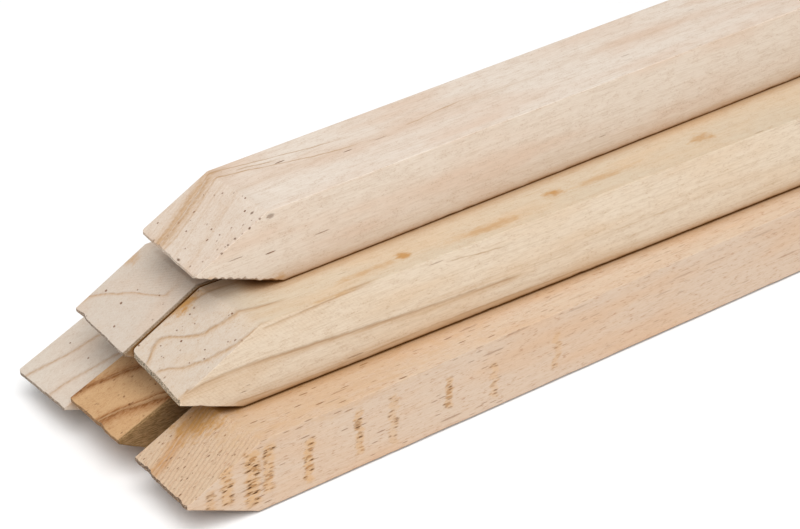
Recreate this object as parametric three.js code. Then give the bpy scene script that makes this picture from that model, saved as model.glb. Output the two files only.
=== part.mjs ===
// A pile of six pointed square stakes of sawn pine, the kind driven beside a young tree to hold
// its guard. Three lie on the ground, two lie on those and one lies on top. All the points face -X,
// all the square butts face +X, +Z is up, and the side with the open gap faces -Y.
// "Far" is the +Y side of the pile or of a stake, and "near" is the -Y side. Units are millimetres.

import * as THREE from 'three';
import { ConvexGeometry } from 'three/addons/geometries/ConvexGeometry.js';

// Driving dimensions shared by all the stakes.
const STAKE_LENGTH = 750;
const REST_CLEARANCE = 0.3;
const ROUGHNESS = 0.85;

// Section heights, and the level that each row lies at. The near bottom stake is sawn a little thin.
const BOTTOM_HEIGHT = 23.6;
const NEAR_BOTTOM_HEIGHT = 23.3;
const MIDDLE_HEIGHT = 24.35;
const TOP_HEIGHT = 24;
const BOTTOM_LEVEL = 0;
const MIDDLE_LEVEL = BOTTOM_LEVEL + BOTTOM_HEIGHT + REST_CLEARANCE;
const TOP_LEVEL = MIDDLE_LEVEL + MIDDLE_HEIGHT + REST_CLEARANCE;

// How far each stake is turned about +Z from the pile's length, in degrees. Stakes side by side in
// one row are turned alike, so that one can be drawn out past the other.
const BOTTOM_TURN = 0.6;
const NEAR_BOTTOM_TURN = 1.05;
const MIDDLE_TURN = -0.8;
const TOP_TURN = 0.5;

// One entry for each stake. tip is the middle of its sawn edge, measured from the tip of the near
// stake in the middle row. topCut is the length of the cut on the upper side, along the far and the
// near edge, and topDrop is how deep that cut is at the tip. underCut is the length of the cut on
// the underside, and land is the thickness of the blunt edge left between the two cuts.
const STAKES = [
  {
    name: 'bottom_far_stake', tip: [-12, 42.75], level: BOTTOM_LEVEL, turn: BOTTOM_TURN,
    width: 25.25, height: BOTTOM_HEIGHT, topCut: { far: 33.5, near: 29.25 }, topDrop: 13.2,
    underCut: 23, land: 0.8, colour: 0xd9c7b5,
  },
  {
    name: 'bottom_middle_stake', tip: [-10.1, 16.85], level: BOTTOM_LEVEL, turn: BOTTOM_TURN,
    width: 25.5, height: BOTTOM_HEIGHT, topCut: { far: 22.6, near: 21.85 }, topDrop: 9,
    underCut: 23, land: 0.8, colour: 0xc59b6e,
  },
  {
    name: 'bottom_near_stake', tip: [-9.1, -15], level: BOTTOM_LEVEL, turn: NEAR_BOTTOM_TURN,
    width: 25.25, height: NEAR_BOTTOM_HEIGHT, topCut: { far: 22.1, near: 24.6 }, topDrop: 10.8,
    underCut: 24.5, land: 0.8, colour: 0xdcbd9f,
  },
  {
    name: 'middle_far_stake', tip: [-1.8, 25.85], level: MIDDLE_LEVEL, turn: MIDDLE_TURN,
    width: 26, height: MIDDLE_HEIGHT, topCut: { far: 23, near: 24 }, topDrop: 12.9,
    underCut: 21.75, land: 0.6, colour: 0xd7c5b4,
  },
  {
    name: 'middle_near_stake', tip: [0, 0], level: MIDDLE_LEVEL, turn: MIDDLE_TURN,
    width: 24.25, height: MIDDLE_HEIGHT, topCut: { far: 22, near: 26 }, topDrop: 13.2,
    underCut: 22.5, land: 1.75, colour: 0xdcc4a9,
  },
  {
    name: 'top_stake', tip: [13.75, 13.9], level: TOP_LEVEL, turn: TOP_TURN,
    width: 26.5, height: TOP_HEIGHT, topCut: { far: 21.75, near: 23.6 }, topDrop: 11.6,
    underCut: 27.75, land: 0.6, colour: 0xe1ccb7,
  },
];

// The corners of one stake in its own frame: the sawn edge across x = 0, the stake along +X and its
// underside on z = 0. Both cuts are flat, so a cut that is longer on one side drops further there.
function stakeCorners(stake) {
  const topSlope = stake.topDrop / ((stake.topCut.far + stake.topCut.near) / 2);
  const edgeRise = stake.height - stake.topDrop - stake.land;
  const underSlope = edgeRise / stake.underCut;
  const corners = [];
  for (const side of [{ cut: stake.topCut.far, y: 0.5 }, { cut: stake.topCut.near, y: -0.5 }]) {
    const y = side.y * stake.width;
    const edgeTop = stake.height - topSlope * side.cut;
    const edgeBottom = edgeTop - stake.land;
    corners.push(new THREE.Vector3(0, y, edgeTop));
    corners.push(new THREE.Vector3(0, y, edgeBottom));
    corners.push(new THREE.Vector3(side.cut, y, stake.height));
    corners.push(new THREE.Vector3(edgeBottom / underSlope, y, 0));
    corners.push(new THREE.Vector3(STAKE_LENGTH, y, stake.height));
    corners.push(new THREE.Vector3(STAKE_LENGTH, y, 0));
  }
  return corners;
}

function makeStake(stake) {
  const geometry = new ConvexGeometry(stakeCorners(stake));
  const material = new THREE.MeshStandardMaterial({
    color: stake.colour,
    roughness: ROUGHNESS,
    metalness: 0,
  });
  const mesh = new THREE.Mesh(geometry, material);
  mesh.name = stake.name;
  mesh.position.set(stake.tip[0], stake.tip[1], stake.level);
  mesh.rotation.z = THREE.MathUtils.degToRad(stake.turn);
  return mesh;
}

// The pile stands with its origin under the middle of its bounding box.
const pile = new THREE.Group();
for (const stake of STAKES) {
  pile.add(makeStake(stake));
}
const bounds = new THREE.Box3().setFromObject(pile, true);
const middle = bounds.getCenter(new THREE.Vector3());
pile.position.set(-middle.x, -middle.y, -bounds.min.z);

export default pile;
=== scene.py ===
"""A pile of six pointed pine stakes, the kind driven beside a young tree to hold its guard.

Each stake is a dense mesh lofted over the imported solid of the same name, with worn arrises, a
chipped point and torn grain, and its own procedural pine. Lengths in the constants are
millimetres unless a comment says otherwise; Blender's own units are metres.
"""

import math

import bpy
import numpy as np
from mathutils import Matrix, Vector


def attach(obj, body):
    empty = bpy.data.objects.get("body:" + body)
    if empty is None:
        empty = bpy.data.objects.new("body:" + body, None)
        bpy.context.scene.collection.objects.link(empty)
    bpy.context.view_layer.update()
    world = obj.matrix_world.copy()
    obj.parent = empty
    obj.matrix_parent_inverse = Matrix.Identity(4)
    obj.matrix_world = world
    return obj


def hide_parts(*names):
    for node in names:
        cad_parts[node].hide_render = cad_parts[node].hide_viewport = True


MM = 0.001

# The camera looks at a point beside the pile's near middle stake. The target and the distance are
# in metres, the angles in degrees, and azimuth 0 looks along Y. Nothing nearer or further than the
# two clip distances, in metres, is seen.
CAMERA_TARGET = (-0.28306, 0.00027, 0.025)
CAMERA_AZIMUTH = -35.37
CAMERA_ELEVATION = 33.71
CAMERA_DISTANCE = 0.928
CAMERA_LENS = 146.4
CAMERA_SENSOR = 36
CAMERA_CLIP = (0.05, 20)

# Distances along a stake's mesh, from the sawn edge at its point.
CUT_STEP = 0.5
SETTLED_AT = 58
SETTLING_STEP = 0.6
SEEN_TO = 235
SEEN_STEP = 1.5
BUTT_STEP = 6
ROUND_STEP = 0.62
ARRIS_STEPS = (0, 0.12, 0.28, 0.5, 0.8)

# Edges of the mesh that bend by more than this many degrees stay sharp.
SHARP_ANGLE = 38

# The shapes' noise: how many random values it holds, and the primes that pick one for each cell.
NOISE_TABLE = 4096
NOISE_PRIMES = (73856093, 19349663, 83492791)

# Chips in the sawn edge, each kind as (depth, width, power of its noise), how far they reach along
# the stake, and the edge's rough face: its depth, its grain across and its grain up, as a share.
CHIP_KINDS = ((2.4, 3.1, 4), (0.5, 0.9, 2))
CHIP_REACH = 4
ROUGH_DEPTH = 0.16
ROUGH_WIDTH = 0.45
ROUGH_SHARE = 0.12
ON_EDGE = 0.01

# The arrises: how slowly their wear changes, its least and its spread, the nicks here and there,
# and the share of the stake's thickness that wear never passes.
WEAR_LENGTH = 14
WEAR_LEAST = 0.6
WEAR_SPREAD = 0.9
NICK_LENGTH = 3.5
NICK_POWER = 6
UPPER_NICK = 0.2
LOWER_NICK = 1.3
THINNEST_SHARE = 0.45

# Torn teeth on the near arris of the under cut: length of a tooth and of a group of teeth, and how
# far up and across they reach. Pits in the torn bands: length, height, where they start, depth.
TOOTH_LENGTH = 0.7
TEETH_GROUP = 3.5
TEETH_RISE = 1.8
TEETH_INSET = 1.2
PIT_LENGTH = 1.6
PIT_HEIGHT = 0.9
PIT_START = 0.45
PIT_DEPTH = 0.5

# A vertex is on the near side where its share of the way across is below this.
NEAR_FACE = 0.001

# Noises in every stake's grain: cycles a millimetre along it and across it, detail, roughness.
NOISES = {
    "tone": (0.022, 0.1, 3.0, 0.5),
    "mottle": (0.25, 0.6, 3.0, 0.65),
    "fibre": (0.045, 1.7, 3.0, 0.6),
    "strand": (0.16, 2.3, 2.0, 0.6),
    "hair": (0.5, 5.0, 3.0, 0.65),
}
GRAIN_SHIFT = (517.0, 91.0, 133.0)

# The grit noise, whose lengthwise cycles each stake sets: cycles across, detail, roughness.
GRIT = (3.0, 2.0, 0.6)

# Layers of tone: noise, where it starts and is full, share on the long faces and on cuts, colour.
TONE_LAYERS = (
    ("tone", 0.4, 0.75, 0.5, 0.25, "blush"),
    ("mottle", 0.45, 0.75, 0.25, 0.25, "shade"),
    ("fibre", 0.48, 0.75, 0.3, 0.3, "shade"),
    ("strand", 0.5, 0.7, 0.28, 0.25, "shade"),
    ("hair", 0.42, 0.66, 0.2, 0.36, "shade"),
)

# Flecks: where the grit noise starts and is full, the same for the patches that hold them, and
# their share.
FLECK_RANGE = (0.54, 0.66)
FLECK_PATCHES = (0.4, 0.6)
FLECK_SHARE = 0.5

# Parts of a stake: how far up or down a face has to look, how deep the near side goes, and how far
# past its shoulder the cut's freshly sawn look lasts.
UPPER_FACING = (0.3, 0.6)
UNDER_FACING = (-0.3, -0.75)
NEAR_SIDE_DEPTH = (1.2, 0.6)
FRESH_RANGE = (7, -5)

# How much each noise lifts the surface, in millimetres.
RELIEF = (("fibre", 0.05), ("hair", 0.04), ("grit", 0.03))

DUCT_INK = (112, 70, 38)
TUFT_INK = (202, 160, 112)
PIT_INK = (168, 122, 74)
PIT_SHADE_INK = (66, 38, 16)
STAIN_INK = (181, 136, 81)
SPOT_INK = (92, 62, 40)
DIRT_INK = (74, 52, 34)
MOSS_INK = (66, 66, 48)
SIDE_SHADE_INK = (106, 80, 42)
UNDER_AND_LOW_SHADE_INK = (96, 66, 42)

# Painted shade: where the near sides beside other stakes are darkest, the least and most of it there,
# and the depth they sink by; then the patches of it on low arrises, the least and most there, how
# high it climbs, and its share on undersides.
SIDE_SHADE_RANGE = (0.4, 0.6)
SIDE_SHADE_SHOWN = (0.6, 1)
SIDE_SHADE_SINK = 0.1
LOW_SHADE_PATCHES = (0.3, 0.6)
LOW_SHADE_SHOWN = (0.3, 0.8)
LOW_SHADE_HEIGHT = (1.1, 0.1)
UNDERSIDE_SHADE = 0.6

# Painted shade in the crevices between stakes, from an ambient occlusion node: dark brown, with a
# paler halo of painted shade round it. How far they reach, in millimetres, and the share of open sky
# at which each starts and is full.
CREVICE_SHADE_INK = (120, 74, 20)
HALO_SHADE_INK = (170, 120, 58)
CREVICE_REACH = 5
CREVICE_RANGE = (0.62, 0.28)
HALO_RANGE = (0.97, 0.55)
CREVICE_SAMPLES = 8
HALO_SHARE = 0.5
CREVICE_SHARE = 0.92

# No crevice shade is painted against the floor: it fades in between these heights above the floor.
CREVICE_HEIGHTS = (1.5, 5)

# Resin ducts: length and spacing of the long ones, the share of places that hold a long or a short
# one, length and thickness of the dots, and how deep all of them are.
LONG_DUCT = (28, 2.3)
LONG_DUCTS = 0.3
SHORT_DUCTS = 0.4
DOT_LENGTH = 2.6
DOT_THICKNESS = 0.11
DUCT_SINK = 0.12

# How a duct shows: how softly its cell is chosen, how much thicker it may be, where its edge starts
# and is full, the least and most of its darkness, the share of the long ones, and the least and
# most of all ducts far from the point and near it, and of the dots off the cuts and on them.
CHOICE_BLEND = 0.02
DUCT_SWELL = 0.08
DUCT_EDGE = (1.0, 0.65)
DUCT_DARKNESS = (0.45, 1)
LONG_DUCT_SHARE = 0.6
DUCTS_SHOWN = (0.4, 0.9)
DOTS_SHOWN = (0.1, 1)

# Torn bands: length and height of a pit's cell, how ragged a pit is, the noise that bends a band
# and by how many millimetres, where its sides start and are full as shares of its width, and how
# softly it ends. Then where the hair noise makes tufts, and their share.
PIT_CELL = (2.6, 0.75)
PIT_RAGGED = 0.7
BAND_BEND = (0.05, 0.5, 0.5)
BAND_STRAY = 5
BAND_EDGE = (1.3, 0.4)
BAND_END = 2
TUFT_RANGE = (0.3, 0.55)
TUFT_SHARE = 0.75

# Pits and their dark cores, which are painted shade in the holes: where in its cell each starts and
# is full, the chances at which a cell has one, its share, its ink and its depth.
PIT_LAYERS = (
    ((0.55, 0.4), (0.25, 0.3), 0.8, PIT_INK, 0.15),
    ((0.34, 0.22), (0.5, 0.56), 0.9, PIT_SHADE_INK, 0.1),
)

# Stains and spots: their ink, the noise that makes them ragged and by how much, and where each
# starts and is full, as shares of its radii.
MARKS = {
    "stains": (STAIN_INK, "mottle", 2.6, (1.1, 0.1)),
    "spots": (SPOT_INK, "hair", 1.6, (1.0, 0.4)),
}

# Where the fibre noise starts to break rings and lines up, and is full.
FIBRE_RANGE = (0.4, 0.6)

# Growth rings: the noises that bend them slowly and quickly, by how many millimetres, and how much
# further they stray between two places along the stake.
RING_SWAY = (0.012, 0.06, 0.06)
RING_WOBBLE = (0.08, 0.3, 0.3)
RING_PATCHES = (0.03, 0.35, 0.35)
RING_SWAY_SIZE = 4
RING_WOBBLE_SIZE = 2.4
RING_STRAY = 6
RING_STRAY_RANGE = (30, 160)

# Where the rings' patches start and are full, the share of a line on cuts and on the long faces,
# the least and most of a glow in the patches and in the fibres, and the shares of the two inks.
RING_PATCH_RANGE = (0.35, 0.6)
RING_ON_CUT = 0.9
RING_ON_FACE = 0.5
GLOW_IN_PATCHES = (0.4, 1)
GLOW_IN_FIBRES = (0.55, 1)
RING_GLOW_SHARE = 0.75
RING_LINE_SHARE = 0.8

# A glow's knee, as shares of its width and of its strength, how far its crisp side reaches, and a
# stop beyond the last ring.
GLOW_KNEE = (0.3, 0.6)
GLOW_FRONT = 0.6
RING_END = (100, 0.0)

# A ring's dark line, as its offsets in millimetres and its share of the ring's strength there.
RING_LINE = ((-0.4, 0), (-0.1, 1), (0.12, 1), (0.4, 0))

# Ring lines on one face: the noise that bends them and by how many millimetres, and the widest
# that a line's points can lie apart, across the face.
LINE_WOBBLE = (0.25, 0.5, 0.5)
LINE_WOBBLE_SIZE = 0.9
LINE_SPAN = 60

# How a line on one face shows: its least and most in the fibres, how softly it begins and ends,
# where its sides start and are full as shares of its half width, where its glow begins, and the
# shares of its two inks.
LINE_IN_FIBRES = (0.6, 1)
LINE_BEGINS = (-1, 0.5)
LINE_ENDS = (6, -4)
LINE_EDGE = (1.6, 0.4)
GLOW_BEGINS = (-0.3, 0.1)
LINE_GLOW_SHARE = 0.95
LINE_DARK_SHARE = 0.5

# Saw lines: how far the mottle bends them, where along a wave a line starts and is full, the same
# for the patches that hold them, how much they colour the wood and how deep they are.
SAW_BEND = 5
SAW_CREST = (-0.4, 1.0)
SAW_PATCHES = (0.3, 0.55)
SAW_SHARE = 0.2
SAW_SINK = 0.25

# The pores of end grain, how much they lift it, and where they start to hold dirt on the sawn edge,
# dirt on the butt and moss on the sawn edge, and are full of it.
PORES = (2.0, 2.6, 2.6)
PORE_RELIEF = 0.2
EDGE_DIRT_RANGE = (0.3, 0.55)
BUTT_DIRT_RANGE = (0.35, 0.8)
MOSS_RANGE = (0.45, 0.6)

# Saw lines, the painted shade on near sides and the darkness of resin ducts fade out between these
# distances from the point.
SAW_FADE = (75, 45)
SIDE_SHADE_FADE = (70, 35)
DUCT_FADE = (150, 50)

# The wood's shine.
ROUGHNESS_LEAST = 0.66
ROUGHNESS_SPREAD = 0.3
WOOD_SPECULAR = 0.2

# The studio: the floor's half side and its place below the pile in metres, its white and its shine,
# and the light of the sky.
FLOOR_HALF_SIDE = 6
FLOOR_DROP = 0.0005
FLOOR_WHITE = 0.96
FLOOR_ROUGHNESS = 0.9
FLOOR_SPECULAR = 0.1
SKY_STRENGTH = 0.4

# Lights: name, place and target in metres, side in metres, power in watts.
LIGHTS = (
    ("key", (-0.95, -0.95, 1.95), (-0.2, 0, 0), 1.7, 52.5),
    ("fill", (0.1, -1.8, 0.55), (-0.2, 0, 0.03), 1.2, 3),
)

# How a stake looks, unless its own entry in LOOKS says otherwise. Colours are sRGB, 0 to 255.
PLAIN = {
    "early": (210, 192, 170),
    "top": (210, 192, 170),
    "sawn": (206, 192, 176),
    "late": (160, 128, 100),
    "shade": (182, 150, 118),
    "blush": (206, 170, 142),
    "fleck": (158, 108, 70),
    "glow": (186, 152, 118),
    "pith": (0, -60),
    "rings": (),
    "ring_edge": 1,
    "lines": (),
    "wander": 0.5,
    "ducts": 1.0,
    "duct_length": 16,
    "duct_spacing": 1.9,
    "duct_thickness": 0.07,
    "dots": 0.15,
    "dot_pitch": 2.4,
    "flecks": 1.0,
    "fleck_pitch": 1.6,
    "torn": (),
    "stains": (),
    "spots": (),
    "side_saw": None,
    "cut_saw": None,
    "side_shade": 0,
    "edge_dirt": 0.7,
    "moss": 0,
    "low_arris_shade": 1.0,
    "arris": 0.14,
    "low_arris": 0.6,
    "chips": 0.7,
    "far_corner": (0.5, 0.5),
    "near_corner": (0.5, 0.5),
    "under_nicks": 0,
}

# What the entries hold:
# rings: (distance from the pith, strength of the dark line, strength and width of its glow).
# ring_edge: 1 where the rings' crisp side faces away from the pith, -1 where it faces the pith.
# lines: ring lines seen on one face, (face, points, half width, width of the glow, strength). The
#   points are (along, across) on the upper face and (along, up) on the near one, and a glow below 0
#   lies on the other side of its line.
# torn: bands on the near side, (place along the stake, width, lowest, highest, strength).
# stains, spots: (place, radii, strength).
# side_saw, cut_saw: (direction that the saw lines are counted in, pitch, strength).
# far_corner, near_corner: how far the edge's corner is knocked off along and across the stake.
# low_arris_shade: the share of painted shade along the low arrises, where stakes rest on each other.
# side_shade: the share of painted shade on the near side, where the next stake shades it.
# top: the colour of the upper faces, holding painted light: lighter on the top stake, darker on the
# middle near stake where the stake above shades it.
LOOKS = {
    "top_stake": {
        **PLAIN,
        "seed": 1,
        "slot": "pink_cream_pine",
        "early": (216, 202, 186),
        # This upper face colour is lighter than the sides as painted light from above.
        "top": (221, 209, 196),
        "sawn": (208, 194, 180),
        "late": (160, 124, 86),
        "glow": (184, 150, 114),
        "shade": (188, 164, 140),
        "pith": (50, -25),
        "rings": ((69.6, 0.1, 0.3, 2.5),),
        "lines": (
            ("upper", ((0, 4.4), (6.5, 5.9), (11.7, 7.6), (16.6, 9.3), (23, 12)), 0.8, 3.8, 0.8),
            ("upper", ((0, 4.8), (6.5, 6.4), (11.7, 8.2), (16.6, 10), (22, 12)), 0.05, -4, 0.9),
            ("upper", ((0, 5.8), (6.5, 7.6), (11.7, 9.4), (16.6, 11.2)), 0.5, 1.4, 0.6),
            ("upper", ((0, 2.2), (7, 3.4), (15, 6.2), (22, 9)), 0.3, 0.8, 0.4),
            ("upper", ((0, -2.6), (7, -0.1), (14, 2.6), (22, 5.6)), 0.3, -1, 0.2),
            ("upper", ((21, 9.2), (24, 8.5), (34, 6.3), (47, 3.2), (60, 1)), 0.22, 0.5, 0.8),
            ("upper", ((21, 11.9), (32, 10.1), (43, 8.2), (58, 6)), 0.2, 0.4, 0.75),
            ("upper", ((29, 9), (34, 8), (39, 7)), 0.25, 0.3, 0.9),
            ("upper", ((80, 1.2), (88, 1.9), (98, 2.8)), 0.25, 0.4, 0.6),
        ),
        "far_corner": (1.3, 1.2),
        "near_corner": (0.9, 0.9),
        "under_nicks": 3.4,
        "low_arris": 0.3,
        "ducts": 0.5,
        "flecks": 0.6,
        "dots": 0.8,
        "dot_pitch": 1.9,
        "edge_dirt": 0.25,
        "cut_saw": ((0.3, -1, 0), 1.1, 0.6),
        "stains": (
            ((4, -12.6, 9), (4, 1.4, 2.4), 0.7),
            ((27, -13, 1.5), (3.4, 1.4, 2), 0.6),
        ),
        "spots": (
            ((21, -9.7, 22.7), (0.8, 0.5, 0.7), 0.8),
            ((21.1, -13.2, 22.7), (0.5, 0.5, 0.5), 0.7),
            ((17.8, -13.2, 21), (0.55, 0.5, 0.55), 0.9),
            ((13.6, -12.5, 18.9), (0.5, 0.5, 0.5), 0.8),
            ((11.3, -12.5, 17.8), (0.45, 0.5, 0.45), 0.8),
            ((8.8, -13.2, 16.4), (0.5, 0.5, 0.5), 0.8),
            ((24.4, -13.2, 22.4), (1.6, 1, 1.1), 0.55),
            ((0.6, 7.4, 12.6), (0.6, 0.5, 0.6), 0.9),
            ((0.8, -4.2, 12.8), (0.5, 0.9, 0.5), 0.9),
        ),
    },
    "middle_near_stake": {
        **PLAIN,
        "seed": 2,
        "slot": "straw_pine",
        "early": (218, 202, 181),
        # This upper face colour is darker as painted shade from the top stake above it.
        "top": (204, 189, 167),
        "sawn": (201, 188, 174),
        "late": (150, 120, 90),
        "glow": (188, 156, 122),
        "shade": (186, 160, 130),
        "blush": (210, 178, 142),
        "pith": (-30, -10),
        "rings": ((21, 0.1, 0.9, 2.5), (27, 0.1, 0.5, 2)),
        "ring_edge": -1,
        "lines": (
            ("upper", ((11, 12), (16.4, 11.1), (22, 9.2), (30, 8.6)), 0.55, -3.4, 0.9),
            ("upper", ((0.6, 5.2), (4, 7.7), (7.4, 8), (10.5, 4.2), (14, 0.2), (19.4, -2), (26, -3.6),
                       (36, -5.5)), 0.55, 2.2, 0.95),
            ("upper", ((1.5, 0.4), (5, -3.4), (10, -7.3), (16.6, -10.3), (25, -12)), 0.5, 1.8, 0.85),
            ("near", ((0, 11.6), (10, 12.9), (20, 13.2), (32, 12.4), (48, 11.2), (72, 9.6), (110, 8)),
             0.5, 2.8, 0.9),
            ("near", ((27, 23), (37, 23.4), (48, 23.9), (60, 24.3)), 0.25, 1.2, 0.8),
            ("near", ((18, 2.4), (34, 1.6), (50, 1.2), (80, 2.2), (130, 1.6)), 0.2, 3.4, 0.7),
            ("near", ((88, 21.4), (96, 20.4), (106, 19.4)), 0.22, 0.3, 0.7),
        ),
        "ducts": 0.5,
        "flecks": 0.6,
        "dots": 0.6,
        "side_saw": ((1.3, 0, 1), 0.9, 0.55),
        "far_corner": (2, 1.2),
        "near_corner": (1, 1),
        "low_arris": 0.3,
        "edge_dirt": 0.35,
        "moss": 0.8,
        "stains": (
            ((64, -7, 24), (14, 1.6, 2), 0.5),
            ((103, -8, 24), (16, 2, 2), 0.55),
            # This stain is partly the rough, darker far arris and partly painted shade under the top
            # stake's point.
            ((17, 11.5, 21), (10, 2.6, 5), 1),
            ((76, -6, 24.4), (2.6, 2.2, 2), 0.9),
            ((129, -4.2, 24.4), (4, 2.8, 2), 0.9),
            ((146, -5, 24.2), (14, 2, 2), 0.5),
            ((182, -4.5, 24.2), (5, 2.6, 2), 0.7),
            ((50, -11.8, 24.3), (9, 1, 0.8), 0.5),
        ),
    },
    "middle_far_stake": {
        **PLAIN,
        "seed": 3,
        "slot": "grey_cream_pine",
        "early": (205, 192, 178),
        "top": (205, 192, 178),
        "sawn": (201, 189, 176),
        "shade": (186, 166, 146),
        "lines": (
            ("upper", ((0.4, 14), (5.2, 12.1), (9.2, 6.9), (13.1, 1), (17.3, -6.9)), 0.5, 2, 0.8),
        ),
        "ducts": 0.4,
        "dots": 0.3,
        "flecks": 0.4,
        "cut_saw": ((1, 0.8, 0), 0.8, 0.4),
        "side_shade": 0.9,
        "stains": (((18, 12, 22), (4, 2.4, 3), 0.55),),
        "spots": (
            ((6.5, -1.4, 15.5), (0.4, 0.4, 0.4), 0.6),
            ((9.4, -4, 17), (0.4, 0.6, 0.4), 0.7),
            ((12.6, -6.5, 18.8), (0.4, 0.4, 0.4), 0.6),
            ((10.2, -8.9, 17.4), (0.4, 0.4, 0.4), 0.6),
            ((21.3, 1, 23.7), (0.5, 0.3, 0.4), 0.7),
        ),
    },
    "bottom_far_stake": {
        **PLAIN,
        "seed": 4,
        "slot": "grey_cream_pine",
        "early": (207, 194, 178),
        "top": (207, 194, 178),
        "sawn": (209, 198, 185),
        "shade": (188, 168, 148),
        "lines": (
            ("upper", ((0, 8.7), (9.4, 5.3), (20, 2.6), (34, 1)), 0.6, 1.8, 0.7),
            ("upper", ((0, -4), (10, -5.8), (20, -9), (30, -11)), 0.55, 1.8, 0.65),
        ),
        "ducts": 0.3,
        "flecks": 0.4,
        "far_corner": (1.2, 1.2),
    },
    "bottom_middle_stake": {
        **PLAIN,
        "seed": 5,
        "slot": "tan_pine",
        "early": (200, 160, 118),
        "top": (200, 160, 118),
        "sawn": (197, 161, 120),
        "late": (112, 68, 32),
        "shade": (172, 128, 84),
        "blush": (190, 138, 92),
        "glow": (146, 92, 46),
        "lines": (
            ("upper", ((0, 13.2), (9.3, 10), (16.9, 5.8), (26, 1)), 0.8, 2.4, 1),
            ("upper", ((0, 13.4), (9.3, 10.4), (16.9, 6.4), (26, 1.6)), 0.3, -3, 0.7),
            ("upper", ((0, -1.4), (8.4, -5.2), (16.8, -10.6), (24, -14)), 1, 4.6, 1),
            ("upper", ((0, -0.6), (8.4, -4), (16.8, -8.6), (24, -12)), 0.3, -1.6, 0.8),
        ),
        "ducts": 1.6,
        "duct_length": 15,
        "duct_spacing": 1.6,
        "duct_thickness": 0.1,
        "dots": 0.3,
        "flecks": 1.2,
        "fleck_pitch": 0.7,
        "side_shade": 0.9,
    },
    "bottom_near_stake": {
        **PLAIN,
        "seed": 6,
        "slot": "peach_pine",
        "early": (205, 185, 165),
        "top": (207, 187, 165),
        "sawn": (200, 177, 150),
        "late": (174, 126, 80),
        "shade": (186, 154, 128),
        "blush": (206, 166, 128),
        "glow": (184, 138, 90),
        "lines": (
            ("upper", ((0, 3.8), (6.6, 4.9), (12.6, 7.6), (18.6, 9.6), (26, 10)), 1.5, 3, 0.8),
            ("upper", ((0, 4.4), (6.6, 5.5), (12.6, 8.4), (18.6, 10.4), (26, 11)), 0.1, -2.8, 0.9),
        ),
        "ducts": 2.4,
        "duct_length": 9,
        "duct_spacing": 1.3,
        "duct_thickness": 0.13,
        "dots": 0.25,
        "flecks": 1.0,
        "fleck_pitch": 0.45,
        "cut_saw": ((0.35, -1, 0), 1.35, 1.8),
        "edge_dirt": 0.9,
        "low_arris_shade": 0.15,
        "stains": (
            ((48, -2, 23.3), (62, 16, 5), 0.3),
            # This stain is painted shade: warm brown on the bevel's far upper part, where the middle
            # near stake overhangs it.
            ((19, 8, 22), (17, 8, 8), 1),
        ),
        "chips": 1.5,
        "near_corner": (2.2, 2.2),
        "torn": (
            (8, 1.6, 5, 15, 0.6),
            (13.4, 2.2, 6, 20, 0.9),
            (21.5, 2.6, 2, 22, 1),
            (26.8, 2, 4.5, 22, 0.9),
            (39.8, 1.6, 1.5, 18, 1),
            (56.5, 1.5, 3.5, 20.5, 0.8),
            (68, 1.6, 2, 20.5, 0.5),
            (87, 1.4, 6, 18, 0.8),
            (103, 1.4, 2.5, 16.5, 0.5),
            (125, 1.3, 3.5, 17.5, 0.5),
        ),
    },
}


# ---------------------------------------------------------------- the stakes' shapes


def lerp(a, b, share):
    return a + (b - a) * share


def lattice_noise(points, seed):
    """Smooth noise from 0 to 1 at each row of points, with features one unit across."""
    table = np.random.default_rng(seed).random(NOISE_TABLE)
    cell = np.floor(points).astype(np.int64)
    part = points - cell
    part = part * part * (3 - 2 * part)
    total = np.zeros(len(points))
    for corner in np.ndindex(2, 2, 2):
        key = (cell + corner) * NOISE_PRIMES
        value = table[(key[:, 0] ^ key[:, 1] ^ key[:, 2]) % NOISE_TABLE]
        total += value * np.prod(np.where(corner, part, 1 - part), axis=1)
    return total


def noise_at(seed, *scaled):
    """Lattice noise of up to three scaled coordinates, each an array or a number."""
    rows = np.broadcast_arrays(*scaled, *([0.5] * (3 - len(scaled))))
    return lattice_noise(np.stack(rows, axis=1).astype(float), seed)


def measure(node):
    """A stake's own frame, as a matrix, and its sizes in it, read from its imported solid.

    The frame's origin is under the middle of the sawn edge, with X along the stake, Y towards
    its far side and Z up.
    """
    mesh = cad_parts[node].data
    corners = sorted({tuple(round(c, 6) for c in v.co) for v in mesh.vertices})
    tip, shoulders, butt = corners[:4], corners[4:8], corners[8:]
    low_far = max(sorted(shoulders, key=lambda c: c[2])[:2], key=lambda c: c[1])
    butt_far = max(sorted(butt, key=lambda c: c[2])[:2], key=lambda c: c[1])
    turn = math.atan2(butt_far[1] - low_far[1], butt_far[0] - low_far[0])
    middle = np.mean(tip, axis=0)
    level = min(c[2] for c in corners)
    place = Matrix.Translation((middle[0], middle[1], level)) @ Matrix.Rotation(turn, 4, "Z")
    local = [[place.inverted() @ Vector(c) / MM for c in group] for group in (tip, shoulders, butt)]
    tip, shoulders, butt = local

    def reach(pair):
        """How far along the stake the near and the far corner of a pair are."""
        return [c.x for c in sorted(pair, key=lambda c: c.y)]

    shoulders = sorted(shoulders, key=lambda c: c.z)
    tip_pairs = sorted(tip, key=lambda c: c.y)
    size = {
        "width": max(c.y for c in butt) - min(c.y for c in butt),
        "height": max(c.z for c in butt),
        "length": max(c.x for c in butt),
        "top_cut": reach(shoulders[2:]),
        "under_cut": reach(shoulders[:2]),
        "edge_top": [max(c.z for c in pair) for pair in (tip_pairs[:2], tip_pairs[2:])],
        "edge_bottom": [min(c.z for c in pair) for pair in (tip_pairs[:2], tip_pairs[2:])],
    }
    return place, size


def spread(length, step):
    """Shares from 0 to 1 of a side this long, about a step apart and closer near its arrises."""
    edge = np.array(ARRIS_STEPS)
    count = round((length - 2 * edge[-1]) / step) + 1
    inner = np.linspace(edge[-1], length - edge[-1], count)
    return np.concatenate([edge[:-1], inner, (length - edge[:-1])[::-1]]) / length


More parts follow.
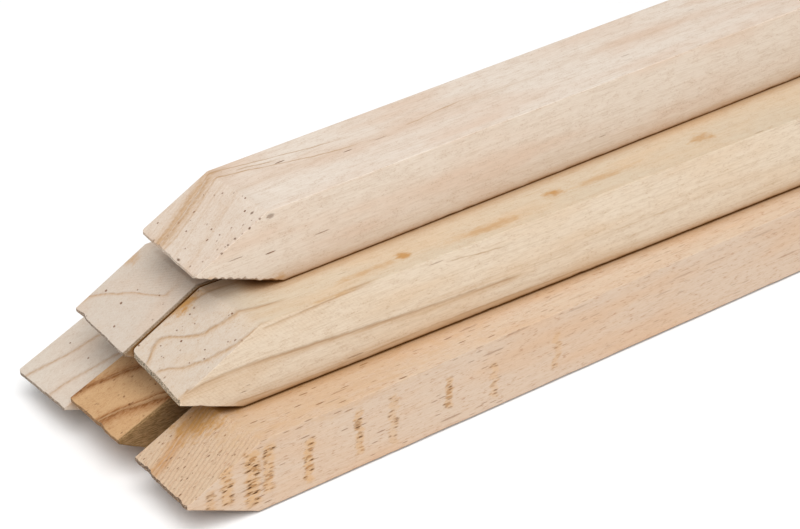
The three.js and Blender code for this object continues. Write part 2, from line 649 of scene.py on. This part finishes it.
def stations(size):
    """Along the stake, each ring of the mesh as (share of the cut's length, distance)."""
    cut_steps = round(np.mean(size["top_cut"]) / CUT_STEP)
    rows = [(share, 0) for share in np.linspace(0, 1, cut_steps + 1)]
    settling_steps = round((SETTLED_AT - np.mean(size["top_cut"])) / SETTLING_STEP)
    for share in np.linspace(0, 1, settling_steps + 1)[1:]:
        rows.append((1 - share, share * SETTLED_AT))
    for start, end, step in ((SETTLED_AT, SEEN_TO, SEEN_STEP), (SEEN_TO, size["length"], BUTT_STEP)):
        for place in np.linspace(start, end, round((end - start) / step) + 1)[1:]:
            rows.append((0, place))
    return np.array(rows), cut_steps


def loft(size):
    """The stake as a mesh before any wear: where each vertex is along the stake, and its share of
    the way across and up, with the faces and what each face is part of."""
    across = spread(size["width"], ROUND_STEP)
    up = spread(size["height"], ROUND_STEP)
    columns, rows = len(across), len(up)
    ring = [(i, 0) for i in range(columns)] + [(columns - 1, j) for j in range(1, rows)]
    ring += [(i, rows - 1) for i in range(columns - 2, -1, -1)]
    ring += [(0, j) for j in range(rows - 2, 0, -1)]
    around = len(ring)
    ring_v = np.array([across[i] for i, j in ring])
    ring_t = np.array([up[j] for i, j in ring])
    place, cut_steps = stations(size)
    reach = lerp(lerp(*size["under_cut"], ring_v), lerp(*size["top_cut"], ring_v), ring_t)
    x = (place[:, :1] * reach + place[:, 1:]).ravel()
    v = np.tile(ring_v, len(place))
    t = np.tile(ring_t, len(place))
    faces, parts = [], []
    top_start, top_end = columns + rows - 2, 2 * columns + rows - 3
    for k in range(len(place) - 1):
        for i in range(around):
            j = (i + 1) % around
            faces.append((k * around + i, k * around + j, (k + 1) * around + j, (k + 1) * around + i))
            sawn = k < cut_steps and (top_start <= i < top_end or i < columns - 1)
            parts.append("cut" if sawn else "side")
    index = {cell: i for i, cell in enumerate(ring)}
    last_ring = (len(place) - 1) * around
    for end, start, distance in (("edge", 0, 0), ("butt", last_ring, size["length"])):
        inner = {}
        for i in range(1, columns - 1):
            for j in range(1, rows - 1):
                inner[i, j] = len(x) + len(inner)
        x = np.concatenate([x, np.full(len(inner), float(distance))])
        v = np.concatenate([v, [across[i] for i, j in inner]])
        t = np.concatenate([t, [up[j] for i, j in inner]])
        for i in range(columns - 1):
            for j in range(rows - 1):
                cells = [(i, j), (i, j + 1), (i + 1, j + 1), (i + 1, j)]
                corners = [inner.get(c, index.get(c, 0) + start) for c in cells]
                faces.append(tuple(corners if end == "edge" else corners[::-1]))
                parts.append(end)
    return x, v, t, faces, parts


def rounded(a, b):
    """Moves points of a unit corner square into the quarter disc inside it."""
    return a * np.sqrt(1 - b * b / 2), b * np.sqrt(1 - a * a / 2)


def wear(look, size, x, v, t):
    """Chips the point, rounds the corners and arrises, and tears the grain, always inwards."""
    seed = look["seed"] * 100
    half = size["width"] / 2
    y = (v * 2 - 1) * half

    # The sawn edge is chipped back, and its face is rough.
    chips = np.zeros(len(x))
    for number, (depth, width, power) in enumerate(CHIP_KINDS):
        chips = chips + depth * noise_at(seed + number, y / width) ** power
    rough = ROUGH_DEPTH * noise_at(seed + 2, y / ROUGH_WIDTH, t / ROUGH_SHARE) * (x < ON_EDGE)
    x = x + look["chips"] * chips * np.clip(1 - x / CHIP_REACH, 0, 1) + rough

    # The two corners of the sawn edge are knocked off, seen from above.
    for side, (depth, inset) in ((1, look["far_corner"]), (-1, look["near_corner"])):
        a = np.clip((depth - x) / depth, 0, 1)
        b = np.clip((side * y - half + inset) / inset, 0, 1)
        near = (a > 0) & (b > 0)
        a, b = rounded(a, b)
        x = np.where(near, depth - a * depth, x)
        y = np.where(near, side * (half - inset + b * inset), y)

    # The two cuts give the height of the upper and the under side.
    share = (y / half + 1) / 2
    top_cut = lerp(*size["top_cut"], share)
    under_cut = lerp(*size["under_cut"], share)
    top_slope = (size["height"] - np.mean(size["edge_top"])) / np.mean(size["top_cut"])
    under_slope = np.mean(size["edge_bottom"]) / np.mean(size["under_cut"])
    top = size["height"] - top_slope * np.clip(top_cut - x, 0, None)
    bottom = under_slope * np.clip(under_cut - x, 0, None)
    z = lerp(bottom, top, t)

    # The long arrises are worn round, more in some places than in others.
    thickness = top - bottom
    for side in (1, -1):
        for upper in (True, False):
            which = side + upper * 4
            worn, nick = (look["arris"], UPPER_NICK) if upper else (look["low_arris"], LOWER_NICK)
            radius = worn * (WEAR_LEAST + WEAR_SPREAD * noise_at(seed + 9 + which, x / WEAR_LENGTH))
            radius = radius + nick * noise_at(seed + 3 + which, x / NICK_LENGTH) ** NICK_POWER
            radius = np.minimum(radius, THINNEST_SHARE * thickness)
            rise = z - (top - radius) if upper else (bottom + radius) - z
            a = np.clip((side * y - half + radius) / radius, 0, 1)
            b = np.clip(rise / radius, 0, 1)
            near = (a > 0) & (b > 0)
            a, b = rounded(a, b)
            inwards = (1 - b) * radius
            y = np.where(near, side * (half - radius + a * radius), y)
            z = np.where(near, top - inwards if upper else bottom + inwards, z)

    # The near arris of the under cut is left in torn teeth.
    teeth = noise_at(seed + 20, x / TOOTH_LENGTH) * noise_at(seed + 21, x / TEETH_GROUP)
    teeth = teeth * (x < np.mean(size["under_cut"]))
    low = np.clip(1 - (z - bottom) / TEETH_RISE, 0, 1)
    outer = np.clip(1 - (y + half) / TEETH_INSET, 0, 1)
    z = z + look["under_nicks"] * teeth * low * outer

    # Torn grain leaves shallow pits in the near side.
    for place, width, low, high, strength in look["torn"]:
        inside = np.clip(1 - np.abs(x - place) / width, 0, 1) * (v < NEAR_FACE)
        inside = inside * (z > low) * (z < high)
        pits = noise_at(seed + 30, x / PIT_LENGTH, z / PIT_HEIGHT)
        y = y + PIT_DEPTH * strength * inside * np.clip(pits - PIT_START, 0, None)
    return np.stack([x, y, z], axis=1)


def make_stake(node, look):
    place, size = measure(node)
    x, v, t, faces, parts = loft(size)
    points = wear(look, size, x, v, t)
    mesh = bpy.data.meshes.new(node + "_wood")
    mesh.from_pydata(points * MM, [], faces)
    for part in ("cut", "edge", "butt"):
        flags = mesh.attributes.new(part, "FLOAT", "FACE")
        flags.data.foreach_set("value", [float(p == part) for p in parts])
    mesh.polygons.foreach_set("use_smooth", [True] * len(mesh.polygons))
    mesh.set_sharp_from_angle(angle=math.radians(SHARP_ANGLE))
    mesh.update()
    stake = bpy.data.objects.new(node + "_wood", mesh)
    bpy.context.scene.collection.objects.link(stake)
    stake.matrix_world = place
    mesh.materials.append(pine(node, size, look))
    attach(stake, node.removesuffix("_stake"))
    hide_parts(node)


# ---------------------------------------------------------------- the pine


def srgb(colour):
    """An sRGB colour, 0 to 255, as the linear colour that shaders take."""
    shares = [c / 255 for c in colour]
    linear = [s / 12.92 if s < 0.04045 else ((s + 0.055) / 1.055) ** 2.4 for s in shares]
    return (*linear, 1)


class Shader:
    """A short way to write a material: each method adds a node and returns its output."""

    def __init__(self, name):
        self.material = bpy.data.materials.new(name)
        self.material.use_nodes = True
        self.tree = self.material.node_tree
        self.surface = self.tree.nodes["Principled BSDF"]

    def node(self, kind, **settings):
        made = self.tree.nodes.new(kind)
        for name, value in settings.items():
            setattr(made, name, value)
        return made

    def put(self, socket, value):
        if isinstance(value, bpy.types.NodeSocket):
            self.tree.links.new(value, socket)
        else:
            socket.default_value = value

    def math(self, operation, *values):
        made = self.node("ShaderNodeMath", operation=operation)
        for socket, value in zip(made.inputs, values):
            self.put(socket, value)
        return made.outputs[0]

    def add(self, a, b):
        return self.math("ADD", a, b)

    def times(self, a, b):
        return self.math("MULTIPLY", a, b)

    def between(self, value, at_zero, at_one):
        """A number that goes from at_zero to at_one as value goes from 0 to 1."""
        return self.add(at_zero, self.times(value, at_one - at_zero))

    def vector(self, operation, *values):
        made = self.node("ShaderNodeVectorMath", operation=operation)
        for socket, value in zip(made.inputs, values):
            self.put(socket, value)
        return made.outputs["Value" if operation in ("LENGTH", "DOT_PRODUCT") else "Vector"]

    def noise(self, point, scale, detail=2.0, roughness=0.5):
        """Noise of a point multiplied by scale, a number for each axis."""
        made = self.node("ShaderNodeTexNoise")
        self.put(made.inputs["Vector"], self.vector("MULTIPLY", point, scale))
        self.put(made.inputs["Scale"], 1.0)
        self.put(made.inputs["Detail"], detail)
        self.put(made.inputs["Roughness"], roughness)
        return made.outputs["Fac"]

    def cells(self, point, scale):
        """The distance to the nearest cell's middle and that cell's random colour."""
        made = self.node("ShaderNodeTexVoronoi")
        self.put(made.inputs["Vector"], self.vector("MULTIPLY", point, scale))
        self.put(made.inputs["Scale"], 1.0)
        return made.outputs["Distance"], made.outputs["Color"]

    def channels(self, colour):
        made = self.node("ShaderNodeSeparateColor")
        self.put(made.inputs[0], colour)
        return made.outputs

    def smooth(self, value, start, end):
        """0 before start and 1 after end, with a smooth rise between; start may be the larger."""
        made = self.node("ShaderNodeMapRange", interpolation_type="SMOOTHSTEP")
        low, high = (start, end) if start < end else (end, start)
        self.put(made.inputs["Value"], value)
        self.put(made.inputs["From Min"], low)
        self.put(made.inputs["From Max"], high)
        if start > end:
            self.put(made.inputs["To Min"], 1.0)
            self.put(made.inputs["To Max"], 0.0)
        return made.outputs["Result"]

    def profile(self, value, stops, curve="LINEAR"):
        """A value read off a line or a smooth curve through stops, pairs of (value, height)."""
        low, high = stops[0][0], stops[-1][0]
        place = self.math("DIVIDE", self.math("SUBTRACT", value, low), high - low)
        made = self.node("ShaderNodeValToRGB")
        self.put(made.inputs["Fac"], place)
        ramp = made.color_ramp
        ramp.interpolation = curve
        ramp.elements.remove(ramp.elements[1])
        for number, (where, height) in enumerate(stops):
            position = (where - low) / (high - low)
            stop = ramp.elements[0] if number == 0 else ramp.elements.new(position)
            stop.position = position
            stop.color = (height, height, height, 1)
        return made.outputs["Color"]

    def mix(self, share, a, b):
        made = self.node("ShaderNodeMix", data_type="RGBA")
        self.put(made.inputs[0], share)
        self.put(made.inputs[6], a)
        self.put(made.inputs[7], b)
        return made.outputs[2]

    def flag(self, name):
        return self.node("ShaderNodeAttribute", attribute_name=name).outputs["Fac"]


class Wood(Shader):
    """A stake's pine, painted in layers that each change the colour and may sink the surface."""

    def __init__(self, node, size, look):
        super().__init__(node + "_pine")
        self.look = look
        metres = self.node("ShaderNodeTexCoord").outputs["Object"]
        self.place = self.vector("MULTIPLY", metres, (1 / MM,) * 3)
        self.grain = self.vector("ADD", self.place, [look["seed"] * step for step in GRAIN_SHIFT])
        self.along, self.across, self.up = self.axes(self.place)
        for name, (lengthwise, crosswise, detail, roughness) in NOISES.items():
            scale = (lengthwise, crosswise, crosswise)
            setattr(self, name, self.noise(self.grain, scale, detail, roughness))
        crosswise, detail, roughness = GRIT
        scale = (look["fleck_pitch"], crosswise, crosswise)
        self.grit = self.noise(self.grain, scale, detail, roughness)
        self.cut = self.flag("cut")
        self.edge = self.flag("edge")
        self.butt = self.flag("butt")
        normal = self.node("ShaderNodeNewGeometry").outputs["True Normal"]
        facing = self.axes(normal)[2]
        self.upper = self.smooth(facing, *UPPER_FACING)
        self.under = self.smooth(facing, *UNDER_FACING)
        from_near = self.add(self.across, size["width"] / 2)
        self.near_side = self.smooth(from_near, *NEAR_SIDE_DEPTH)
        past_shoulder = self.math("SUBTRACT", self.along, np.mean(size["top_cut"]))
        self.fresh = self.smooth(past_shoulder, *FRESH_RANGE)
        self.colour = srgb(look["early"])
        self.height = 0.0

    def axes(self, vector):
        made = self.node("ShaderNodeSeparateXYZ")
        self.put(made.inputs[0], vector)
        return made.outputs

    def paint(self, share, ink, depth=0.0):
        """Colours the surface where share is high, and sinks it there by depth in millimetres."""
        self.colour = self.mix(share, self.colour, srgb(ink))
        if depth:
            self.height = self.math("SUBTRACT", self.height, self.times(share, depth))

    def shifted(self, value, noise, amount):
        """A value moved up and down by a noise."""
        return self.add(value, self.times(self.math("SUBTRACT", noise, 0.5), amount))


def paint_tone(w):
    """The earlywood with its slow changes of tone, its fibres and its flecks."""
    look = w.look
    # Upper faces take their own colour, which holds painted light and shade as each stake's top was
    # lit.
    w.paint(w.upper, look["top"])
    w.paint(w.times(w.upper, w.fresh), look["sawn"])
    for noise, start, end, share, on_cut, ink in TONE_LAYERS:
        amount = w.between(w.cut, share, on_cut)
        w.paint(w.times(w.smooth(getattr(w, noise), start, end), amount), look[ink])
    flecks = w.times(w.smooth(w.grit, *FLECK_RANGE), w.smooth(w.mottle, *FLECK_PATCHES))
    w.paint(w.times(flecks, FLECK_SHARE * look["flecks"]), look["fleck"])
    for noise, depth in RELIEF:
        w.height = w.add(w.height, w.times(getattr(w, noise), depth))


def paint_rings(w):
    """Growth rings round a pith beside the stake: dark lines, each with a glow beside it."""
    look = w.look
    slow = w.math("SUBTRACT", w.noise(w.grain, RING_SWAY), 0.5)
    quick = w.math("SUBTRACT", w.noise(w.grain, RING_WOBBLE, detail=3.0), 0.5)
    stray = w.times(w.smooth(w.along, *RING_STRAY_RANGE), RING_STRAY)
    drift = w.add(RING_SWAY_SIZE * look["wander"], stray)
    off_pith = w.vector("SUBTRACT", w.place, (0, *look["pith"]))
    radius = w.vector("LENGTH", w.vector("MULTIPLY", off_pith, (0, 1, 1)))
    wobble = w.times(quick, RING_WOBBLE_SIZE * look["wander"])
    radius = w.add(radius, w.add(w.times(slow, drift), wobble))
    knee, knee_share = GLOW_KNEE
    lines, glows = [(0, 0.0)], [(0, 0.0)]
    for distance, strength, glow, width in look["rings"]:
        soft = [(-width, 0.0), (-knee * width, knee_share * glow), (0, glow), (GLOW_FRONT, 0.0)]
        if look["ring_edge"] < 0:
            soft = [(-offset, share) for offset, share in reversed(soft)]
        lines += [(distance + offset, share * strength) for offset, share in RING_LINE]
        glows += [(distance + offset, share) for offset, share in soft]
    patchy = w.smooth(w.noise(w.grain, RING_PATCHES), *RING_PATCH_RANGE)
    line = w.profile(radius, lines + [RING_END])
    on_cut = w.times(w.cut, RING_ON_CUT)
    on_face = w.times(patchy, RING_ON_FACE)
    line = w.times(line, w.math("MAXIMUM", on_cut, on_face))
    glow = w.profile(radius, glows + [RING_END])
    glow = w.times(glow, w.between(patchy, *GLOW_IN_PATCHES))
    glow = w.times(glow, w.between(w.smooth(w.fibre, *FIBRE_RANGE), *GLOW_IN_FIBRES))
    w.paint(w.times(glow, RING_GLOW_SHARE), look["glow"])
    w.paint(w.times(line, RING_LINE_SHARE), look["late"])


def paint_lines(w):
    """Ring lines that are seen on one face only."""
    wobble = w.noise(w.grain, LINE_WOBBLE, detail=3.0)
    broken = w.between(w.smooth(w.fibre, *FIBRE_RANGE), *LINE_IN_FIBRES)
    for face, points, width, glow, strength in w.look["lines"]:
        value, seen = (w.across, w.upper) if face == "upper" else (w.up, w.near_side)
        # A curve's heights have to be from 0 to 1, so the route is scaled down to fit, then back.
        route = w.profile(w.along, [(x, 0.5 + y / LINE_SPAN) for x, y in points], "CARDINAL")
        route = w.times(w.math("SUBTRACT", route, 0.5), LINE_SPAN)
        away = w.math("SUBTRACT", w.shifted(value, wobble, LINE_WOBBLE_SIZE), route)
        start, end = points[0][0], points[-1][0]
        begun = w.smooth(w.along, *(start + offset for offset in LINE_BEGINS))
        unended = w.smooth(w.along, *(end + offset for offset in LINE_ENDS))
        shown = w.times(w.times(seen, w.times(begun, unended)), strength)
        line = w.smooth(w.math("ABSOLUTE", away), *(width * share for share in LINE_EDGE))
        line = w.times(line, broken)
        beside = w.times(away, -1 if glow > 0 else 1)
        soft = w.times(w.smooth(beside, abs(glow), 0), w.smooth(beside, *GLOW_BEGINS))
        w.paint(w.times(w.times(soft, shown), w.times(broken, LINE_GLOW_SHARE)), w.look["glow"])
        w.paint(w.times(w.times(line, shown), LINE_DARK_SHARE), w.look["late"])


def resin_ducts(w, length, spacing, share, thickness):
    """Dark threads along the grain, each of its own darkness, which show as dots on the cuts."""
    distance, colour = w.cells(w.grain, (1 / length, 1 / spacing, 1 / spacing))
    chance, darkness, size = w.channels(colour)
    chosen = w.smooth(chance, 1 - share, 1 - share + CHOICE_BLEND)
    thread = w.math("DIVIDE", distance, w.add(thickness, w.times(size, DUCT_SWELL)))
    thread = w.times(w.smooth(thread, *DUCT_EDGE), chosen)
    return w.times(thread, w.between(darkness, *DUCT_DARKNESS))


def paint_ducts(w):
    """Resin ducts, darkest near the point: long faint ones, short ones, and dots on the cuts."""
    look = w.look
    thickness = look["duct_thickness"]
    long_ones = resin_ducts(w, *LONG_DUCT, LONG_DUCTS * look["ducts"], thickness)
    short_duct = look["duct_length"], look["duct_spacing"]
    short_ones = resin_ducts(w, *short_duct, SHORT_DUCTS * look["ducts"], thickness)
    dots = resin_ducts(w, DOT_LENGTH, look["dot_pitch"], look["dots"], DOT_THICKNESS)
    dots = w.times(dots, w.between(w.cut, *DOTS_SHOWN))
    ducts = w.math("MAXIMUM", w.times(long_ones, LONG_DUCT_SHARE), short_ones)
    ducts = w.math("MAXIMUM", ducts, dots)
    darkness = w.between(w.smooth(w.along, *DUCT_FADE), *DUCTS_SHOWN)
    w.paint(w.times(ducts, darkness), DUCT_INK, DUCT_SINK)


def paint_torn_bands(w):
    """Bands across the near side where the saw tore out short tufts of grain."""
    ragged = w.noise(w.grain, BAND_BEND, detail=3.0)
    length, height = PIT_CELL
    distance, colour = w.cells(w.grain, (1 / length, 1 / height, 1 / height))
    distance = w.shifted(distance, w.hair, PIT_RAGGED)
    chance = w.channels(colour)[0]
    tufts = w.times(w.smooth(w.hair, *TUFT_RANGE), TUFT_SHARE)
    pits = []
    for inside, chosen, share, ink, depth in PIT_LAYERS:
        shape = w.times(w.smooth(distance, *inside), w.smooth(chance, *chosen))
        pits.append((w.times(shape, share), ink, depth))
    for where, width, low, high, strength in w.look["torn"]:
        offset = w.shifted(w.math("SUBTRACT", w.along, where), ragged, BAND_STRAY)
        offset = w.math("ABSOLUTE", offset)
        band = w.smooth(offset, *(width * share for share in BAND_EDGE))
        band = w.times(band, w.near_side)
        from_low = w.smooth(w.up, low, low + BAND_END)
        from_high = w.smooth(w.up, high, high - BAND_END)
        band = w.times(w.times(band, w.times(from_low, from_high)), strength)
        w.paint(w.times(band, tufts), TUFT_INK)
        # Pits are painted orange brown, and their cores dark brown as painted shade in the holes.
        for shape, ink, depth in pits:
            w.paint(w.times(band, shape), ink, depth)


def paint_marks(w):
    """Broad pale brown stains, some of them painted shade where a stake overhangs, and small dark
    spots.
    """
    for kind, (ink, noise, ragged, edge) in MARKS.items():
        for where, radii, strength in w.look[kind]:
            away = w.vector("DIVIDE", w.vector("SUBTRACT", w.place, where), radii)
            away = w.shifted(w.vector("LENGTH", away), getattr(w, noise), ragged)
            w.paint(w.times(w.smooth(away, *edge), strength), ink)


def paint_saw_lines(w):
    """Saw lines, on the near side or across the cuts."""
    near_tip = w.times(w.near_side, w.smooth(w.along, *SAW_FADE))
    for saw, where in ((w.look["side_saw"], near_tip), (w.look["cut_saw"], w.cut)):
        if saw:
            direction, pitch, strength = saw
            phase = w.vector("DOT_PRODUCT", w.place, Vector(direction).normalized())
            phase = w.add(w.times(phase, 2 * math.pi / pitch), w.times(w.mottle, SAW_BEND))
            line = w.times(w.smooth(w.math("SINE", phase), *SAW_CREST), where)
            line = w.times(line, w.smooth(w.tone, *SAW_PATCHES))
            w.paint(w.times(line, SAW_SHARE * strength), w.look["shade"], SAW_SINK)


def paint_ends(w):
    """The blunt sawn edge and the butt are end grain, dirtier and rougher than the rest."""
    pores = w.noise(w.grain, PORES, detail=3.0, roughness=0.7)
    edge_dirt = w.times(w.smooth(pores, *EDGE_DIRT_RANGE), w.look["edge_dirt"])
    edge_dirt = w.times(w.edge, edge_dirt)
    butt_dirt = w.times(w.butt, w.smooth(pores, *BUTT_DIRT_RANGE))
    w.paint(w.math("MAXIMUM", edge_dirt, butt_dirt), DIRT_INK)
    w.paint(w.times(w.times(w.edge, w.smooth(pores, *MOSS_RANGE)), w.look["moss"]), MOSS_INK)
    end = w.math("MAXIMUM", w.edge, w.butt)
    w.height = w.add(w.height, w.times(w.times(end, pores), PORE_RELIEF))


def paint_shade(w):
    """Painted shade on near sides, undersides and low arrises, darkest where stakes close in."""
    # Painted shade on the near side where the next stake shades it, broken up by the hair noise and
    # sunk a little.
    rough = w.between(w.smooth(w.hair, *SIDE_SHADE_RANGE), *SIDE_SHADE_SHOWN)
    rough = w.times(rough, w.smooth(w.along, *SIDE_SHADE_FADE))
    rough = w.times(w.times(w.near_side, rough), w.look["side_shade"])
    w.paint(rough, SIDE_SHADE_INK, SIDE_SHADE_SINK)
    # Painted shade on undersides, and in patches along the low arrises where stakes rest on each
    # other.
    patches = w.between(w.smooth(w.mottle, *LOW_SHADE_PATCHES), *LOW_SHADE_SHOWN)
    low = w.times(w.times(w.smooth(w.up, *LOW_SHADE_HEIGHT), patches), w.look["low_arris_shade"])
    w.paint(w.math("MAXIMUM", w.times(w.under, UNDERSIDE_SHADE), low), UNDER_AND_LOW_SHADE_INK)
    # Painted shade: an ambient occlusion node darkens the crevices where stakes close in, with a pale
    # brown halo and a dark brown core.
    closeness = w.node("ShaderNodeAmbientOcclusion", samples=CREVICE_SAMPLES)
    w.put(closeness.inputs["Distance"], CREVICE_REACH * MM)
    height = w.axes(w.node("ShaderNodeNewGeometry").outputs["Position"])[2]
    off_floor = w.smooth(height, *(level * MM for level in CREVICE_HEIGHTS))
    for ink, sky, share in (
        (HALO_SHADE_INK, HALO_RANGE, HALO_SHARE),
        (CREVICE_SHADE_INK, CREVICE_RANGE, CREVICE_SHARE),
    ):
        crevice = w.smooth(closeness.outputs["AO"], *sky)
        w.paint(w.times(w.times(crevice, off_floor), share), ink)


def pine(node, size, look):
    w = Wood(node, size, look)
    for layer in (
        paint_tone,
        paint_rings,
        paint_lines,
        paint_ducts,
        paint_torn_bands,
        paint_marks,
        paint_saw_lines,
        paint_ends,
        paint_shade,
    ):
        layer(w)
    bump = w.node("ShaderNodeBump")
    w.put(bump.inputs["Strength"], 1.0)
    w.put(bump.inputs["Distance"], MM)
    w.put(bump.inputs["Height"], w.height)
    w.put(w.surface.inputs["Base Color"], w.colour)
    roughness = w.add(ROUGHNESS_LEAST, w.times(w.fibre, ROUGHNESS_SPREAD))
    w.put(w.surface.inputs["Roughness"], roughness)
    w.put(w.surface.inputs["Normal"], bump.outputs["Normal"])
    w.surface.inputs["Specular IOR Level"].default_value = WOOD_SPECULAR
    return w.material


# ---------------------------------------------------------------- the studio


def add_camera():
    azimuth, elevation = math.radians(CAMERA_AZIMUTH), math.radians(CAMERA_ELEVATION)
    back = Vector((
        math.sin(azimuth) * math.cos(elevation),
        -math.cos(azimuth) * math.cos(elevation),
        math.sin(elevation),
    ))
    data = bpy.data.cameras.new("camera")
    data.lens = CAMERA_LENS
    data.sensor_width = CAMERA_SENSOR
    data.clip_start, data.clip_end = CAMERA_CLIP
    camera = bpy.data.objects.new("camera", data)
    bpy.context.scene.collection.objects.link(camera)
    camera.location = Vector(CAMERA_TARGET) + back * CAMERA_DISTANCE
    camera.rotation_mode = "QUATERNION"
    camera.rotation_quaternion = (-back).to_track_quat("-Z", "Y")
    bpy.context.scene.camera = camera


def add_area_light(name, place, target, size, power):
    data = bpy.data.lights.new(name, "AREA")
    data.shape = "SQUARE"
    data.size = size
    data.energy = power
    light = bpy.data.objects.new(name, data)
    bpy.context.scene.collection.objects.link(light)
    light.location = place
    direction = Vector(target) - Vector(place)
    light.rotation_mode = "QUATERNION"
    light.rotation_quaternion = direction.to_track_quat("-Z", "Y")


def add_floor():
    half = FLOOR_HALF_SIDE
    mesh = bpy.data.meshes.new("floor")
    corners = [(-half, -half, 0), (half, -half, 0), (half, half, 0), (-half, half, 0)]
    mesh.from_pydata(corners, [], [(0, 1, 2, 3)])
    shader = Shader("floor_white")
    shader.surface.inputs["Base Color"].default_value = (FLOOR_WHITE, FLOOR_WHITE, FLOOR_WHITE, 1)
    shader.surface.inputs["Roughness"].default_value = FLOOR_ROUGHNESS
    shader.surface.inputs["Specular IOR Level"].default_value = FLOOR_SPECULAR
    mesh.materials.append(shader.material)
    floor = bpy.data.objects.new("floor", mesh)
    bpy.context.scene.collection.objects.link(floor)
    floor.location.z = -FLOOR_DROP


def add_studio():
    world = bpy.data.worlds.new("studio")
    world.use_nodes = True
    sky = world.node_tree.nodes["Background"]
    sky.inputs["Color"].default_value = (1, 1, 1, 1)
    sky.inputs["Strength"].default_value = SKY_STRENGTH
    bpy.context.scene.world = world
    for light in LIGHTS:
        add_area_light(*light)
    bpy.context.scene.view_settings.view_transform = "Standard"


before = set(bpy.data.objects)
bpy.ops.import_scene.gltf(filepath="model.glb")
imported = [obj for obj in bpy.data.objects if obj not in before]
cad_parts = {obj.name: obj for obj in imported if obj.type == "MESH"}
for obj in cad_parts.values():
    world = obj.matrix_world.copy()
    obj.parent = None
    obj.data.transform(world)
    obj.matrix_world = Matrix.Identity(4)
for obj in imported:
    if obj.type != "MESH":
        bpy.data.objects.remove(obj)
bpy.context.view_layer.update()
add_camera()
add_floor()
add_studio()
for node_name, node_look in LOOKS.items():
    make_stake(node_name, node_look)
